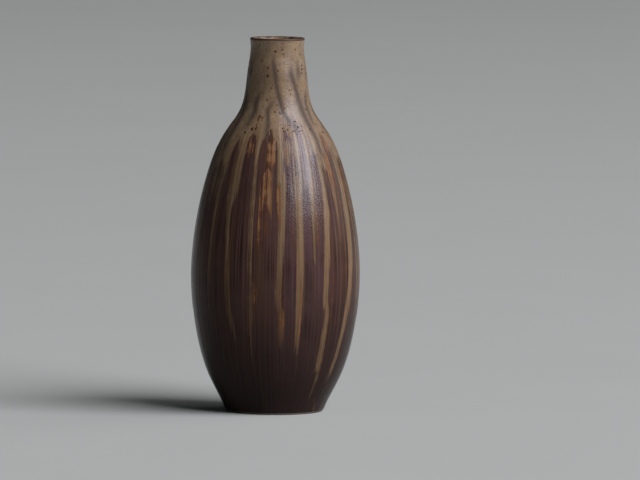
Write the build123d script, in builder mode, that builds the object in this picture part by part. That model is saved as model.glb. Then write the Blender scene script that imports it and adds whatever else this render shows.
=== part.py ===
"""Bottle vase: a thrown stoneware wall with fired-on glaze coats and glaze runs. Millimetres, +Z up."""
from math import cos, radians, sin, tan
import os

from build123d import *

# Outside of the bare clay: radii, and the rise from each one to the next
FOOT_RADIUS = 38.5
HEEL_RADIUS = 51.3
LOWER_BELLY_RADIUS = 63.2
BELLY_RADIUS = 67.2
UPPER_BELLY_RADIUS = 63.6
SHOULDER_RADIUS = 55.0
UPPER_SHOULDER_RADIUS = 45.3
NECK_ROOT_RADIUS = 31.3
NECK_RADIUS = 25.3
UPPER_NECK_RADIUS = 22.8
NECK_TOP_RADIUS = 20.8
LIP_RADIUS = 21.5
HEEL_RISE = 26.0
LOWER_BELLY_RISE = 40.0
BELLY_RISE = 48.0
UPPER_BELLY_RISE = 38.0
SHOULDER_RISE = 38.0
UPPER_SHOULDER_RISE = 26.0
NECK_ROOT_RISE = 20.5
NECK_RISE = 15.5
UPPER_NECK_RISE = 22.0
NECK_TOP_RISE = 19.5
LIP_RISE = 4.95

# Lean of the wall from upright, in degrees: outward at the foot and lip, inward at the neck root
FOOT_LEAN = 19.5
NECK_ROOT_LEAN = 35.7
LIP_LEAN = 16.0

# Each curve is turned in flats, which stay within 0.15 mm of it
BELLY_FLAT_COUNT = 24
NECK_FLAT_COUNT = 12
LIP_FLAT_COUNT = 3

# Round of the lip's outer edge, which is crisper than its inner one
LIP_EDGE = 0.9

# Inside of the clay
WALL = 5.0
NECK_WALL = 3.1
FLOOR = 8.0

# Foot ring
FOOT_RING_WIDTH = 8.0
FOOT_RECESS_DEPTH = 3.0
FOOT_EDGE = 0.8

# Glaze coats, measured square to the wall
BASE_COAT = 0.4
TOP_COAT = 0.5
BASE_EDGE_HEIGHT = 1.5
COLLAR_DROP = 17.5
COLLAR_LAP = 9.0

# Glaze runs below the collar: azimuth from the front at half length, sideways lean, width and length
RUN_FLARE = 1.2
RUNS = [
    (-51.5, 0.4, 4.2, 134),
    (-33.5, 2.0, 5.0, 164),
    (-18.0, 0.6, 4.6, 198),
    (4.0, -0.8, 5.2, 179),
    (17.5, -0.8, 5.4, 184),
    (30.0, -1.4, 3.8, 99),
    (39.5, -1.6, 5.6, 194),
    (52.0, -0.6, 3.2, 109),
    (62.0, -2.2, 5.6, 203),
    (86.0, 0.4, 5.4, 142),
    (105.0, -0.6, 4.4, 180),
    (123.0, 0.8, 3.6, 118),
    (142.0, -0.9, 4.6, 192),
    (160.0, 0.5, 4.0, 160),
    (181.0, -0.7, 4.6, 186),
    (199.0, 0.6, 3.6, 124),
    (217.0, -1.0, 4.4, 198),
    (236.0, 0.9, 4.4, 176),
    (254.0, -0.5, 3.8, 190),
    (272.0, 0.8, 4.2, 138),
    (290.0, -0.6, 4.0, 168),
]

throat_radius = NECK_TOP_RADIUS - NECK_WALL
floor_height = FOOT_RECESS_DEPTH + FLOOR
collar_coat = BASE_COAT + TOP_COAT

# Heights of the outline's stations
heel_height = HEEL_RISE
lower_belly_height = heel_height + LOWER_BELLY_RISE
belly_height = lower_belly_height + BELLY_RISE
upper_belly_height = belly_height + UPPER_BELLY_RISE
shoulder_height = upper_belly_height + SHOULDER_RISE
upper_shoulder_height = shoulder_height + UPPER_SHOULDER_RISE
neck_root_height = upper_shoulder_height + NECK_ROOT_RISE
neck_height = neck_root_height + NECK_RISE
upper_neck_height = neck_height + UPPER_NECK_RISE
neck_top_height = upper_neck_height + NECK_TOP_RISE
lip_height = neck_top_height + LIP_RISE
collar_edge = neck_root_height - COLLAR_DROP

# Outline of the clay, as radius and height: belly, neck, and the two halves of the rounded lip
foot_direction = (sin(radians(FOOT_LEAN)), cos(radians(FOOT_LEAN)))
root_direction = (-sin(radians(NECK_ROOT_LEAN)), cos(radians(NECK_ROOT_LEAN)))
lip_direction = (sin(radians(LIP_LEAN)), cos(radians(LIP_LEAN)))
throat_round = LIP_RADIUS - LIP_EDGE * cos(radians(LIP_LEAN)) - throat_radius
belly = Spline(
    (FOOT_RADIUS, 0),
    (HEEL_RADIUS, heel_height),
    (LOWER_BELLY_RADIUS, lower_belly_height),
    (BELLY_RADIUS, belly_height),
    (UPPER_BELLY_RADIUS, upper_belly_height),
    (SHOULDER_RADIUS, shoulder_height),
    (UPPER_SHOULDER_RADIUS, upper_shoulder_height),
    (NECK_ROOT_RADIUS, neck_root_height),
    tangents=(foot_direction, root_direction),
)
neck = Spline(
    (NECK_ROOT_RADIUS, neck_root_height),
    (NECK_RADIUS, neck_height),
    (UPPER_NECK_RADIUS, upper_neck_height),
    (NECK_TOP_RADIUS, neck_top_height),
    (LIP_RADIUS, lip_height),
    tangents=(root_direction, lip_direction),
)
outer_lip = JernArc(neck @ 1, lip_direction, LIP_EDGE, 90 + LIP_LEAN)
inner_lip = JernArc(outer_lip @ 1, outer_lip % 1, throat_round, 90)


def flats(curve, count, depth):
    """Points along a curve, moved square to it by a depth of glaze."""
    places = [step / count for step in range(count + 1)]
    return [curve @ place + Vector((curve % place).Y, -(curve % place).X) * depth for place in places]


def wall_points(depth):
    """The wall's outline from foot to lip, at a depth of glaze."""
    return flats(belly, BELLY_FLAT_COUNT, depth) + flats(neck, NECK_FLAT_COUNT, depth)[1:]


def coat_face(inner, outer, bottom, top):
    """The section of a coat between two depths of glaze and two heights."""
    with BuildSketch() as section:
        with BuildLine():
            Polyline(*wall_points(inner), *reversed(wall_points(outer)), close=True)
        make_face()
        with Locations((0, bottom)):
            Rectangle(4 * BELLY_RADIUS, top - bottom, align=(Align.CENTER, Align.MIN), mode=Mode.INTERSECT)
    return section.sketch


# Thrown clay wall with its foot ring
with BuildPart() as clay_body:
    with BuildSketch(Plane.XZ):
        with BuildLine():
            lip_points = flats(outer_lip, LIP_FLAT_COUNT, 0)[1:] + flats(inner_lip, LIP_FLAT_COUNT, 0)[1:]
            throat_top = (inner_lip @ 1).Y
            Polyline(*wall_points(0), *lip_points, (0, throat_top), (0, 0), close=True)
        make_face()
    revolve(axis=Axis.Z)
    with BuildSketch(Plane.XZ):
        with BuildLine():
            inside = wall_points(-WALL)
            Polyline(*inside, (0, inside[-1].Y), (0, inside[0].Y), close=True)
        make_face()
        with Locations((0, floor_height)):
            Rectangle(4 * BELLY_RADIUS, 2 * floor_height, align=(Align.CENTER, Align.MAX), mode=Mode.SUBTRACT)
    revolve(axis=Axis.Z, mode=Mode.SUBTRACT)
    with BuildSketch(Plane.XY.offset(neck_height)):
        Circle(throat_radius)
    extrude(amount=throat_top - neck_height, mode=Mode.SUBTRACT)
    with BuildSketch():
        Circle(FOOT_RADIUS - FOOT_RING_WIDTH)
    extrude(amount=FOOT_RECESS_DEPTH, mode=Mode.SUBTRACT)
    chamfer(clay_body.edges().group_by(Axis.Z)[0], FOOT_EDGE)
clay_body.part.label = "clay_body"

# Dark coat over the belly, from the bare foot line to under the collar
with BuildPart() as base_glaze:
    with BuildSketch(Plane.XZ):
        add(coat_face(0, BASE_COAT, BASE_EDGE_HEIGHT, collar_edge + COLLAR_LAP))
    revolve(axis=Axis.Z)
base_glaze.part.label = "base_glaze"

# Buff coat over the neck and shoulder, lapped over the dark one
with BuildPart() as collar_glaze:
    with BuildSketch(Plane.XZ):
        add(coat_face(0, collar_coat, collar_edge, 2 * lip_height))
        add(coat_face(0, BASE_COAT, 0, collar_edge + COLLAR_LAP), mode=Mode.SUBTRACT)
    revolve(axis=Axis.Z)
collar_glaze.part.label = "collar_glaze"

# Dark line of glaze round the lip, from the collar to the crest
with BuildPart() as lip_glaze:
    with BuildSketch(Plane.XZ):
        with BuildLine():
            under = flats(outer_lip, LIP_FLAT_COUNT, 0)
            over = flats(outer_lip, LIP_FLAT_COUNT, BASE_COAT)
            Polyline(*under, *reversed(over), close=True)
        make_face()
    revolve(axis=Axis.Z)
lip_glaze.part.label = "lip_glaze"


def glaze_run(azimuth, lean, width, length):
    """One trickle of top coat: a tongue as thick as the coat, hung from the collar's edge."""
    turn = radians(azimuth)
    outward = Vector(sin(turn), -cos(turn), 0)
    sideways = Vector(cos(turn), sin(turn), 0)
    half = width / 2
    tip = -length / 2
    root = length / 2
    sway = root * tan(radians(abs(lean)))
    with BuildPart() as run:
        with BuildSketch(Plane(origin=(0, 0, 0), x_dir=outward, z_dir=-sideways)):
            add(coat_face(BASE_COAT, collar_coat, collar_edge - length, collar_edge))
        extrude(amount=half + RUN_FLARE + sway, both=True)
        facing = Plane(origin=(0, 0, collar_edge - root), x_dir=sideways, z_dir=outward)
        with BuildSketch(facing.rotated((0, 0, lean))):
            with BuildLine():
                end = RadiusArc((0, tip), (half, tip + half), -half)
                side = Line(end @ 1, (half, root - RUN_FLARE))
                flared = RadiusArc(side @ 1, (half + RUN_FLARE, root), RUN_FLARE)
                Polyline(flared @ 1, (half + RUN_FLARE, root + width), (0, root + width))
                mirror(about=Plane.YZ)
            make_face()
        extrude(amount=2 * BELLY_RADIUS, mode=Mode.INTERSECT)
    return run.part


os.makedirs("parts", exist_ok=True)
for piece in (clay_body, base_glaze, collar_glaze, lip_glaze):
    export_step(piece.part, f"parts/{piece.part.label}.step")

# Glaze runs round the belly
for number, sizes in enumerate(RUNS, start=1):
    run_part = glaze_run(*sizes)
    run_part.label = f"glaze_run_{number:02d}"
    export_step(run_part, f"parts/{run_part.label}.step")
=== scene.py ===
"""Looks of the bottle vase: glaze coats, runs, iron specks, floor, light and camera. Metres, +Z up."""
from math import cos, pi, radians, sin, tan

import bpy
import numpy as np
from mathutils import Matrix, Vector
from mathutils.bvhtree import BVHTree


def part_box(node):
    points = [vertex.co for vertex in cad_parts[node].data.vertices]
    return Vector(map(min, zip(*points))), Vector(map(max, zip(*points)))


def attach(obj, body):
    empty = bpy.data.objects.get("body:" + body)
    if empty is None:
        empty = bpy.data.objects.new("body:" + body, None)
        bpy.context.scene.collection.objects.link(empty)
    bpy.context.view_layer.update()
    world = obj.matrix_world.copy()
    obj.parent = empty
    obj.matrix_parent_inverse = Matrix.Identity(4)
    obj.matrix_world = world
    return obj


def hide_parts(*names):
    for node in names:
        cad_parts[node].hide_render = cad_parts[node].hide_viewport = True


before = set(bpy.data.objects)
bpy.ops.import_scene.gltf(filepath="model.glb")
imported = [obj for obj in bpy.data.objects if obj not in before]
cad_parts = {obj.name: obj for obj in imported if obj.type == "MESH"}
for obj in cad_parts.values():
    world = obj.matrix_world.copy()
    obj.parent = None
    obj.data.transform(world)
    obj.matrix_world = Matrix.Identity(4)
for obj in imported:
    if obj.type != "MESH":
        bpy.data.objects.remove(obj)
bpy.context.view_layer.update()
rng = np.random.default_rng(11)
MM = 0.001

# Reading the outline from the clay solid
OUTLINE_STEP = 0.5 * MM
OUTLINE_SMOOTHING = 3.0 * MM
FOOT_MARGIN = 1.0 * MM
THROAT_PROBE = 5.0 * MM
SEAM_OFFSET = 0.001 * MM
FAR_OUTSIDE = 1.0
NOISE_SPAN = 0.35

# Meshing of the coats
COLUMNS = 640
EDGE_ROWS = np.array([0, 0.12, 0.3, 0.55, 0.9, 1.4, 2.0, 2.8]) * MM
ROW_STEP = 1.25 * MM
LOW_ROW_STEP = 2.75 * MM
LOW_ROWS_TOP = 120 * MM
BACK_ROWS = 14

# Thickness of the coats, square to the wall
BASE_COAT = 0.4 * MM
TOP_COAT = 0.47 * MM
COAT_SINK = 0.15 * MM
FUR_RELIEF = 0.035 * MM
THROWING_RELIEF = 0.02 * MM
COLLAR_RELIEF = 0.09 * MM
COAT_EDGE = 1.4 * MM
COLLAR_EDGE = 5.0 * MM
RUN_BEAD = 0.2 * MM
RUN_SINK = 0.02 * MM

# Optical values, and the relief that only the light sees
GLAZE_IOR = 1.46
NOISE_ROUGHNESS = 0.55
# Painted shade: the share of near black mixed into the dark coat at the foot, fading to none at this
# height
PAINTED_FOOT_SHADE = 0.8
PAINTED_SHADE_HEIGHT = 150 * MM
STREAK_BUMP = 0.9 * MM
COLLAR_BUMP = 1.0 * MM
LIP_BUMP = 0.05 * MM
LINER_BUMP = 0.08 * MM
CLAY_BUMP = 0.15 * MM

# Gloss grows with height: where its growth starts and ends, and its share at both
FOOT_GLOSS = (0.11, 0.19, 0.14, 1.0)

# Runs of the front from the root down: height in millimetres, azimuth in degrees, width in millimetres
FRONT_RUNS = {
    21: [(226, -68, 8), (190, -69, 7), (150, -69.5, 5), (110, -70, 4), (51, -70, 2.6)],
    1: [
        (228, -49, 8), (205, -50, 6), (180, -51, 4.6), (150, -51.5, 3.8), (110, -52, 3.2),
        (85, -52, 2.6),
    ],
    2: [
        (230, -35, 8), (215, -35, 7), (190, -35.5, 7.2), (177, -36, 8), (170, -36.9, 6.2),
        (164, -37.3, 5), (150, -36.5, 4.8), (140, -35.5, 4.4), (120, -35, 4.4), (95, -34, 4.6),
        (80, -33, 4.8), (66, -31, 4.4), (55, -30.5, 3.4),
    ],
    3: [
        (228, -18.5, 6), (205, -18.5, 5.8), (180, -18, 5.2), (160, -17.9, 4.8), (140, -17.7, 4.4),
        (112, -17, 3.8), (104, -15.8, 5), (95, -16.8, 5), (70, -18, 5), (40, -17.5, 4.6),
        (21, -16.5, 3.4),
    ],
    4: [
        (228, 3.5, 6), (205, 4, 6.6), (190, 4.8, 7), (160, 4.6, 6.2), (140, 4.2, 5.4), (110, 3, 5.2),
        (96, 2.4, 5), (91, 2.6, 4.2), (86, 4.6, 5.4), (70, 4.6, 5.4), (60, 4.3, 4.4), (42, 4.6, 3),
    ],
    5: [
        (228, 20, 5), (200, 19.3, 6.2), (182, 18.6, 7.2), (168, 18.3, 6.6), (140, 17.8, 6),
        (110, 17.4, 6), (72, 16.8, 5.8), (58, 16.3, 4.2), (46, 16.1, 3.2), (35, 16, 2.4),
    ],
    6: [
        (228, 32.5, 5), (190, 30.6, 4.4), (180, 30, 4.6), (165, 29.2, 4.2), (140, 28, 4),
        (128, 27.8, 3.8), (120.5, 27.8, 3),
    ],
    7: [
        (228, 45, 7), (190, 43, 6.8), (172, 41.7, 7), (160, 41, 6.8), (153, 39.8, 5.8),
        (140, 38.8, 5.4), (120, 37.8, 5.2), (98, 36.8, 5), (91, 37.2, 4.8), (84, 39.2, 5.8),
        (60, 38, 6), (40, 37.6, 5.2), (26, 38.2, 3.8),
    ],
    8: [
        (226, 49, 6.5), (212, 50.6, 7), (200, 51, 6.8), (190, 51.6, 5.4), (180, 52, 4.2),
        (165, 52.4, 3.2), (150, 52.4, 2.8), (130, 52.2, 2.6), (110, 52, 2.4),
    ],
    9: [
        (226, 67, 8), (190, 66.4, 8.4), (160, 65, 8), (130, 63.8, 7.2), (110, 62.5, 6.6),
        (80, 59.5, 6.2), (50, 56, 5.6), (30, 53.6, 5), (16, 52.6, 3.6),
    ],
    10: [(226, 87, 9), (190, 86, 9), (150, 86, 7), (110, 86, 5), (77, 86, 3)],
}


# Outline of the clay
clay_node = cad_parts["clay_body"]
clay_tree = BVHTree.FromObject(clay_node, bpy.context.evaluated_depsgraph_get())
clay_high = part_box("clay_body")[1]
lip_low, lip_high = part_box("lip_glaze")


def radius_at(height, start, direction):
    """Distance from the axis to the first clay surface met by a level ray."""
    hit = clay_tree.ray_cast(Vector((start, SEAM_OFFSET, height)), Vector((direction, 0, 0)))
    return hit[0].x


def smoothed(radii):
    """Evens out the solid's flats, each end carried on straight."""
    reach = int(3 * OUTLINE_SMOOTHING / OUTLINE_STEP)
    steps = np.arange(-reach, reach + 1) * OUTLINE_STEP
    weights = np.exp(-0.5 * (steps / OUTLINE_SMOOTHING) ** 2)
    count = np.arange(1, reach + 1)
    below = radii[0] - count[::-1] * (radii[1] - radii[0])
    above = radii[-1] + count * (radii[-1] - radii[-2])
    return np.convolve(np.concatenate([below, radii, above]), weights / weights.sum(), mode="valid")


throat_radius = radius_at(clay_high.z - THROAT_PROBE, 0, 1)
crest = [vertex.co for vertex in clay_node.data.vertices if vertex.co.z > clay_high.z - SEAM_OFFSET]
crest_radius = max(corner.xy.length for corner in crest)
throat_round = crest_radius - throat_radius
throat_top = clay_high.z - throat_round
wall_top = lip_low.z
floor_height = clay_tree.ray_cast(Vector((0, SEAM_OFFSET, clay_high.z)), Vector((0, 0, -1)))[0].z
outline_heights = np.arange(FOOT_MARGIN, wall_top, OUTLINE_STEP)
outline_radii = smoothed(np.array([radius_at(height, FAR_OUTSIDE, -1) for height in outline_heights]))
outline_slopes = np.gradient(outline_radii, outline_heights)


def wall_radius(height):
    """Outer radius of the clay at a height."""
    return np.interp(height, outline_heights, outline_radii)


def wall_points(azimuth, height, depth):
    """Points a depth of glaze square over the clay. Azimuth 0 is the front, a right angle +X."""
    slope = np.interp(height, outline_heights, outline_slopes)
    level = 1 / np.hypot(1, slope)
    radius = wall_radius(height) + depth * level
    x = radius * np.sin(azimuth)
    y = -radius * np.cos(azimuth)
    return np.stack(np.broadcast_arrays(x, y, height - depth * slope * level), axis=-1)


# Noise and masks on the wall
def wall_noise(cells_round, cells_per_metre):
    """Smooth seeded noise from -1 to 1 over azimuth and height, closed round the axis."""
    lattice = rng.uniform(-1, 1, (int(NOISE_SPAN * cells_per_metre) + 3, cells_round))

    def sample(azimuth, height):
        across = (np.asarray(azimuth) / (2 * pi)) % 1 * cells_round
        along = np.asarray(height) * cells_per_metre
        column = np.floor(across).astype(int)
        row = np.floor(along).astype(int)
        part = smooth_step(across - column, 0, 1)
        rise = smooth_step(along - row, 0, 1)
        next_column = (column + 1) % cells_round
        column = column % cells_round
        low = lattice[row, column] * (1 - part) + lattice[row, next_column] * part
        high = lattice[row + 1, column] * (1 - part) + lattice[row + 1, next_column] * part
        return low * (1 - rise) + high * rise

    return sample


def smooth_step(value, start, end):
    """0 before start, 1 after end, and an even turn between them."""
    part = np.clip((value - start) / (end - start), 0, 1)
    return part * part * (3 - 2 * part)


def turn_between(azimuth, other):
    """Smallest signed turn from one azimuth to another."""
    return (np.asarray(azimuth) - other + pi) % (2 * pi) - pi


coarse_fur = wall_noise(150, 12)
fine_fur = wall_noise(260, 18)
throwing = wall_noise(3, 130)
swell = wall_noise(14, 40)


def base_depth(azimuth, height):
    """Outside of the dark coat: fur streaks, and the faint rings of throwing."""
    fur = 0.6 * coarse_fur(azimuth, height) + 0.4 * fine_fur(azimuth, height)
    return BASE_COAT + FUR_RELIEF * fur + THROWING_RELIEF * throwing(azimuth, height)


# Meshes
def grid_faces(rows, columns, closed):
    """Quads of a grid closed round its columns, and round its rows where asked."""
    row, column = np.meshgrid(np.arange(rows if closed else rows - 1), np.arange(columns), indexing="ij")
    next_row = (row + 1) % rows
    next_column = (column + 1) % columns
    corners = [(row, column), (row, next_column), (next_row, next_column), (next_row, column)]
    return np.stack([r * columns + c for r, c in corners], axis=-1).reshape(-1, 4).tolist()


def make_piece(name, points, faces, values, material, nodes=()):
    """A smooth mesh with per-point values, riding on the vase and standing for CAD nodes."""
    mesh = bpy.data.meshes.new(name)
    mesh.from_pydata(points.reshape(-1, 3).tolist(), [], faces)
    mesh.shade_smooth()
    for key, value in values.items():
        layer = mesh.attributes.new(key, "FLOAT", "POINT")
        layer.data.foreach_set("value", np.ravel(value).astype(np.float32))
    mesh.materials.append(material)
    piece = bpy.data.objects.new(name, mesh)
    bpy.context.scene.collection.objects.link(piece)
    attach(piece, "root")
    if nodes:
        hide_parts(*nodes)


def make_closed(name, points, values, material, nodes=()):
    """A piece whose grid of points closes both ways."""
    make_piece(name, points, grid_faces(*points.shape[:2], closed=True), values, material, nodes)


def make_coat(name, azimuth, height, depth, values, material, nodes):
    """A closed coat of glaze: rows of skin from the bottom up, and a back sunk in the wall."""
    back = np.linspace(len(height) - 1, 0, BACK_ROWS).astype(int)
    all_heights = np.concatenate([height, height[back]])
    all_depths = np.concatenate([depth, np.full_like(height[back], -COAT_SINK)])
    points = wall_points(azimuth, all_heights, all_depths)
    values = {key: np.concatenate([value, value[back]]) for key, value in values.items()}
    make_closed(name, points, values, material, nodes)


# Shader nodes
def new_material(name):
    """A material, and its node tree and shader."""
    material = bpy.data.materials.new(name)
    material.use_nodes = True
    shader = material.node_tree.nodes["Principled BSDF"]
    shader.inputs["IOR"].default_value = GLAZE_IOR
    return material, material.node_tree, shader


def put(tree, socket, value):
    """Sets an input to a value, or links it to another node's output."""
    if isinstance(value, bpy.types.NodeSocket):
        tree.links.new(value, socket)
    else:
        socket.default_value = value


def add_node(tree, kind, inputs, output=0, **settings):
    """An output of a new shader node with these inputs and settings."""
    node = tree.nodes.new("ShaderNode" + kind)
    for key, value in settings.items():
        setattr(node, key, value)
    for key, value in inputs.items():
        put(tree, node.inputs[key], value)
    return node.outputs[output]


def maths(tree, operation, first, second):
    """A sum on two numbers."""
    return add_node(tree, "Math", {0: first, 1: second}, operation=operation)


def vector_maths(tree, operation, first, second=(0, 0, 0)):
    """A sum on two vectors."""
    return add_node(tree, "VectorMath", {0: first, 1: second}, operation=operation)


def mix(tree, amount, first, second):
    """One colour turning into another."""
    return add_node(tree, "Mix", {0: amount, 6: first, 7: second}, 2, data_type="RGBA")


def blend(tree, amount, first, second):
    """One number turning into another."""
    return add_node(tree, "Mix", {0: amount, 2: first, 3: second})


def spread(tree, value, start, end, low=0.0, high=1.0):
    """Maps a span of values to another one, clamped."""
    inputs = dict(enumerate((value, start, end, low, high)))
    return add_node(tree, "MapRange", inputs, interpolation_type="SMOOTHSTEP")


def attribute(tree, name):
    """A per-point value of the mesh."""
    return add_node(tree, "Attribute", {}, "Fac", attribute_name=name)


def noise(tree, scale, detail=3.0, where=None):
    """Cloudy noise from 0 to 1, over the object if no other place is given."""
    where = where or place(tree)
    inputs = {"Vector": where, "Scale": scale, "Detail": detail, "Roughness": NOISE_ROUGHNESS}
    return add_node(tree, "TexNoise", inputs, "Fac")


def place(tree):
    """Position on the object, in metres."""
    return add_node(tree, "TexCoord", {}, "Object")


def height_on(tree):
    """Height over the foot, in metres."""
    return add_node(tree, "SeparateXYZ", {0: place(tree)}, "Z")


def streak_noise(tree, per_radian, per_metre, detail=3.0):
    """Noise for upright streaks: fast round the axis, slow along the wall."""
    where = place(tree)
    heading = vector_maths(tree, "NORMALIZE", vector_maths(tree, "MULTIPLY", where, (1, 1, 0)))
    across = vector_maths(tree, "MULTIPLY", heading, (per_radian, per_radian, 0))
    along = vector_maths(tree, "MULTIPLY", where, (0, 0, per_metre))
    return noise(tree, 1.0, detail, vector_maths(tree, "ADD", across, along))


def ramp(tree, value, stops):
    """Colours along a span of values."""
    node = tree.nodes.new("ShaderNodeValToRGB")
    put(tree, node.inputs[0], value)
    elements = node.color_ramp.elements
    for _ in stops[2:]:
        elements.new(1.0)
    for element, (position, shade) in zip(elements, stops):
        element.position = position
        element.color = shade
    return node.outputs["Color"]


def bump(tree, shader, height, distance, strength):
    """Gives a shader fine relief."""
    inputs = {"Height": height, "Distance": distance, "Strength": strength}
    put(tree, shader.inputs["Normal"], add_node(tree, "Bump", inputs, "Normal"))


def colour(red, green, blue):
    """An opaque colour."""
    return (red, green, blue, 1.0)


PAINTED_SHADE_BLACK = colour(0.0105, 0.0078, 0.0078)
DEEP_BROWN = colour(0.029, 0.0148, 0.0128)
RED_BROWN = colour(0.06, 0.031, 0.0262)
VIOLET_SHEEN_BROWN = colour(0.066, 0.0365, 0.0375)
WARM_BROWN = colour(0.06, 0.031, 0.019)
FUR_BROWN = colour(0.112, 0.064, 0.053)
DARK_RUST = colour(0.046, 0.0165, 0.009)
RUST = colour(0.098, 0.038, 0.0155)
ORANGE = colour(0.2, 0.099, 0.045)
OLIVE = colour(0.092, 0.06, 0.034)
RUN_BROWN = colour(0.074, 0.043, 0.025)
PINK_TAN = colour(0.178, 0.108, 0.062)
TAN = colour(0.152, 0.097, 0.053)
BUFF = colour(0.182, 0.123, 0.068)
PALE_BUFF = colour(0.24, 0.172, 0.102)
PINK_BUFF = colour(0.19, 0.13, 0.086)
VEIN_AND_SHADE_GREY = colour(0.066, 0.047, 0.039)
IRON = colour(0.018, 0.007, 0.0045)
LIP_BROWN = colour(0.045, 0.018, 0.01)
LINER_DARK = colour(0.09, 0.07, 0.052)
LINER_PALE = colour(0.14, 0.112, 0.086)
CLAY_DARK = colour(0.095, 0.066, 0.056)
CLAY_PALE = colour(0.14, 0.1, 0.084)
CLAY_SAND = colour(0.07, 0.035, 0.024)
FLOOR_DARK = colour(0.385, 0.405, 0.38)
FLOOR_PALE = colour(0.405, 0.425, 0.4)
HIGHLIGHT_TINT = colour(0.86, 0.9, 1.0)
FILL_COLOUR = colour(0.9, 0.95, 1.0)


def dark_colour(tree, fur, fine):
    """The dark coat's colour: fine streaks of purple and brown, violet where a sheen is painted, and
    painted shade making it nearly black towards the foot.
    """
    cloud = noise(tree, 22)
    # Painted sheen: the brighter streaks turn violet where the sheen strokes lie
    bright = mix(tree, attribute(tree, "violet_sheen"), RED_BROWN, VIOLET_SHEEN_BROWN)
    ground = mix(tree, spread(tree, cloud, 0.35, 0.65), DEEP_BROWN, bright)
    ground = mix(tree, spread(tree, fur, 0.4, 0.66), ground, bright)
    tone = streak_noise(tree, 9, 11)
    ground = mix(tree, spread(tree, tone, 0.48, 0.66, 0.0, 0.75), ground, WARM_BROWN)
    lines = maths(tree, "MULTIPLY", spread(tree, fine, 0.46, 0.66), spread(tree, fur, 0.3, 0.6))
    ground = mix(tree, maths(tree, "MULTIPLY", lines, 0.62), ground, FUR_BROWN)
    # Painted shade: the dark coat turns nearly black towards the foot
    shade = spread(tree, height_on(tree), 0.0, PAINTED_SHADE_HEIGHT, PAINTED_FOOT_SHADE, 0.0)
    return mix(tree, shade, ground, PAINTED_SHADE_BLACK)


def glaze_colour(tree):
    """Colour by how much buff glaze and rust lie on the dark coat, broken by streaks."""
    fur = streak_noise(tree, 40, 6)
    fine = streak_noise(tree, 110, 12)
    cloud = noise(tree, 150)
    ragged = spread(tree, fine, 0.25, 0.75, -0.18, 0.18)
    ragged = maths(tree, "ADD", ragged, spread(tree, fur, 0.25, 0.75, -0.18, 0.18))
    ragged = maths(tree, "ADD", ragged, spread(tree, cloud, 0.25, 0.75, -0.08, 0.08))
    cover = maths(tree, "ADD", attribute(tree, "cover"), ragged)
    streaks = spread(tree, fur, 0.38, 0.62, 0.52, 1.24)
    streaks = maths(tree, "ADD", streaks, spread(tree, fine, 0.36, 0.64, -0.24, 0.24))
    streaks = maths(tree, "ADD", streaks, spread(tree, cloud, 0.3, 0.7, -0.24, 0.24))
    rust = maths(tree, "MULTIPLY", attribute(tree, "rust"), streaks)
    ground = dark_colour(tree, fur, fine)
    hue = streak_noise(tree, 26, 16)
    buff = ramp(tree, cover, [(0.4, OLIVE), (0.72, TAN), (0.98, BUFF)])
    buff = mix(tree, spread(tree, hue, 0.5, 0.66, 0.0, 0.75), buff, PINK_TAN)
    buff = mix(tree, spread(tree, hue, 0.34, 0.48, 0.65, 0.0), buff, OLIVE)
    buff = mix(tree, attribute(tree, "stain"), buff, RUN_BROWN)
    ground = mix(tree, spread(tree, cover, 0.22, 0.62), ground, buff)
    warm = ramp(tree, rust, [(0.12, DARK_RUST), (0.36, RUST), (0.6, ORANGE), (0.86, PINK_TAN)])
    return mix(tree, spread(tree, rust, 0.14, 0.52), ground, warm), fur, fine


def streaked_finish(tree, fur, fine):
    """Satin gloss broken by the streaks, duller towards the foot: roughness, gloss and relief."""
    band = streak_noise(tree, 15, 4, 2.0)
    streaks = blend(tree, 0.5, fur, band)
    grain = noise(tree, 800, 2.0)
    roughness = spread(tree, streaks, 0.35, 0.65, 0.11, 0.22)
    buff_roughness = spread(tree, attribute(tree, "cover"), 0.2, 0.7, 0.0, 0.1)
    roughness = maths(tree, "ADD", roughness, buff_roughness)
    gloss = spread(tree, streaks, 0.41, 0.59, 0.56, 0.4)
    gloss = maths(tree, "MULTIPLY", gloss, spread(tree, height_on(tree), *FOOT_GLOSS))
    gloss = maths(tree, "MULTIPLY", gloss, maths(tree, "SUBTRACT", 1.0, attribute(tree, "dull")))
    return roughness, gloss, blend(tree, 0.3, blend(tree, 0.3, fur, fine), grain)


def finish(tree, shader, roughness, gloss, relief, depth):
    """Gives a shader its roughness, gloss and fine relief."""
    put(tree, shader.inputs["Roughness"], roughness)
    put(tree, shader.inputs["Specular IOR Level"], gloss)
    bump(tree, shader, relief, depth, 0.5)


def make_streaked_glaze(name):
    """Dark iron glaze in fur-like streaks, with buff that has run and rust where the two mix."""
    material, tree, shader = new_material(name)
    ground, fur, fine = glaze_colour(tree)
    put(tree, shader.inputs["Base Color"], ground)
    finish(tree, shader, *streaked_finish(tree, fur, fine), STREAK_BUMP)
    return material


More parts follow.
